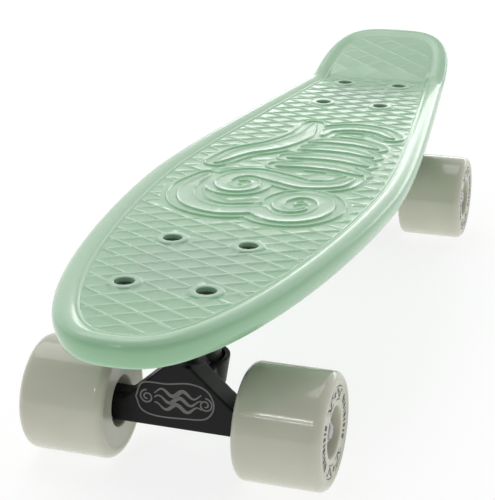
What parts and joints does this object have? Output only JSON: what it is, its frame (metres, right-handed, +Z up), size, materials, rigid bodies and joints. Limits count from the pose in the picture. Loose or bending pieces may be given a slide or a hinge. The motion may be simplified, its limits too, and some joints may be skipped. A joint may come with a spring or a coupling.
{
  "type": "skateboard",
  "caption": "Small cruiser skateboard with a moulded plastic deck, raised kicktail, black steering trucks and soft milky urethane wheels on ball bearings.",
  "frame": {"origin": "on the ground, under the middle of the board's length and width", "axes": "+X along the axles, +Y from the nose towards the kicktail, +Z up"},
  "size_m": [0.1572, 0.5831, 0.133],
  "materials": {
    "deck_plastic": "smooth glossy, slightly translucent mint",
    "pad_rubber": "matte",
    "truck_black": "cast, with a satin black coat",
    "cup_plastic": "matte",
    "bolt_steel": "zinc plated",
    "black_bolt": "black oxide",
    "axle_steel": "ground",
    "bushing_urethane": "satin",
    "bearing_steel": "polished",
    "cage_plastic": "matte",
    "wheel_urethane": "smooth, milky translucent urethane"
  },
  "bodies": {
    "board": {"deck": "deck_plastic", "front_riser_pad": "pad_rubber", "front_baseplate": "truck_black", "front_pivot_cup": "cup_plastic", "front_kingpin": "bolt_steel", "front_kingpin_nut": "bolt_steel", "front_bushing_washers": "bolt_steel", "front_boardside_bushing": "bushing_urethane", "front_roadside_bushing": "bushing_urethane", "front_mounting_bolts": "black_bolt", "front_mounting_nuts": "bolt_steel", "rear_riser_pad": "pad_rubber", "rear_baseplate": "truck_black", "rear_pivot_cup": "cup_plastic", "rear_kingpin": "bolt_steel", "rear_kingpin_nut": "bolt_steel", "rear_bushing_washers": "bolt_steel", "rear_boardside_bushing": "bushing_urethane", "rear_roadside_bushing": "bushing_urethane", "rear_mounting_bolts": "black_bolt", "rear_mounting_nuts": "bolt_steel"},
    "front_truck_hanger": {"front_hanger": "truck_black", "front_axle": "axle_steel", "front_axle_washers": "bolt_steel", "front_axle_nuts": "bolt_steel", "front_left_bearing_inner_rings": "bearing_steel", "front_left_bearing_spacer": "bolt_steel", "front_right_bearing_inner_rings": "bearing_steel", "front_right_bearing_spacer": "bolt_steel"},
    "rear_truck_hanger": {"rear_hanger": "truck_black", "rear_axle": "axle_steel", "rear_axle_washers": "bolt_steel", "rear_axle_nuts": "bolt_steel", "rear_left_bearing_inner_rings": "bearing_steel", "rear_left_bearing_spacer": "bolt_steel", "rear_right_bearing_inner_rings": "bearing_steel", "rear_right_bearing_spacer": "bolt_steel"},
    "front_left_wheel_set": {"front_left_wheel": "wheel_urethane", "front_left_bearing_outer_rings": "bearing_steel", "front_left_bearing_balls": "bearing_steel", "front_left_bearing_cages": "cage_plastic", "front_left_bearing_shields": "bearing_steel"},
    "front_right_wheel_set": {"front_right_wheel": "wheel_urethane", "front_right_bearing_outer_rings": "bearing_steel", "front_right_bearing_balls": "bearing_steel", "front_right_bearing_cages": "cage_plastic", "front_right_bearing_shields": "bearing_steel"},
    "rear_left_wheel_set": {"rear_left_wheel": "wheel_urethane", "rear_left_bearing_outer_rings": "bearing_steel", "rear_left_bearing_balls": "bearing_steel", "rear_left_bearing_cages": "cage_plastic", "rear_left_bearing_shields": "bearing_steel"},
    "rear_right_wheel_set": {"rear_right_wheel": "wheel_urethane", "rear_right_bearing_outer_rings": "bearing_steel", "rear_right_bearing_balls": "bearing_steel", "rear_right_bearing_cages": "cage_plastic", "rear_right_bearing_shields": "bearing_steel"}
  },
  "joints": [
    {"name": "front_steer", "type": "hinge", "parent": "board", "child": "front_truck_hanger", "pos_m": [0, -0.1785, 0.0435], "axis": [0, 0.766, -0.6428], "range_deg": [-15, 15], "stiffness_Nm_per_rad": 14, "deforming": ["front_boardside_bushing", "front_roadside_bushing"]},
    {"name": "rear_steer", "type": "hinge", "parent": "board", "child": "rear_truck_hanger", "pos_m": [0, 0.1615, 0.0435], "axis": [0, -0.766, -0.6428], "range_deg": [-15, 15], "stiffness_Nm_per_rad": 14, "deforming": ["rear_boardside_bushing", "rear_roadside_bushing"]},
    {"name": "front_left_wheel_spin", "type": "hinge", "parent": "front_truck_hanger", "child": "front_left_wheel_set", "pos_m": [0.05595, -0.2005, 0.03], "axis": [1, 0, 0], "continuous": true},
    {"name": "front_right_wheel_spin", "type": "hinge", "parent": "front_truck_hanger", "child": "front_right_wheel_set", "pos_m": [-0.05595, -0.2005, 0.03], "axis": [1, 0, 0], "continuous": true},
    {"name": "rear_left_wheel_spin", "type": "hinge", "parent": "rear_truck_hanger", "child": "rear_left_wheel_set", "pos_m": [0.05595, 0.1835, 0.03], "axis": [1, 0, 0], "continuous": true},
    {"name": "rear_right_wheel_spin", "type": "hinge", "parent": "rear_truck_hanger", "child": "rear_right_wheel_set", "pos_m": [-0.05595, 0.1835, 0.03], "axis": [1, 0, 0], "continuous": true}
  ]
}
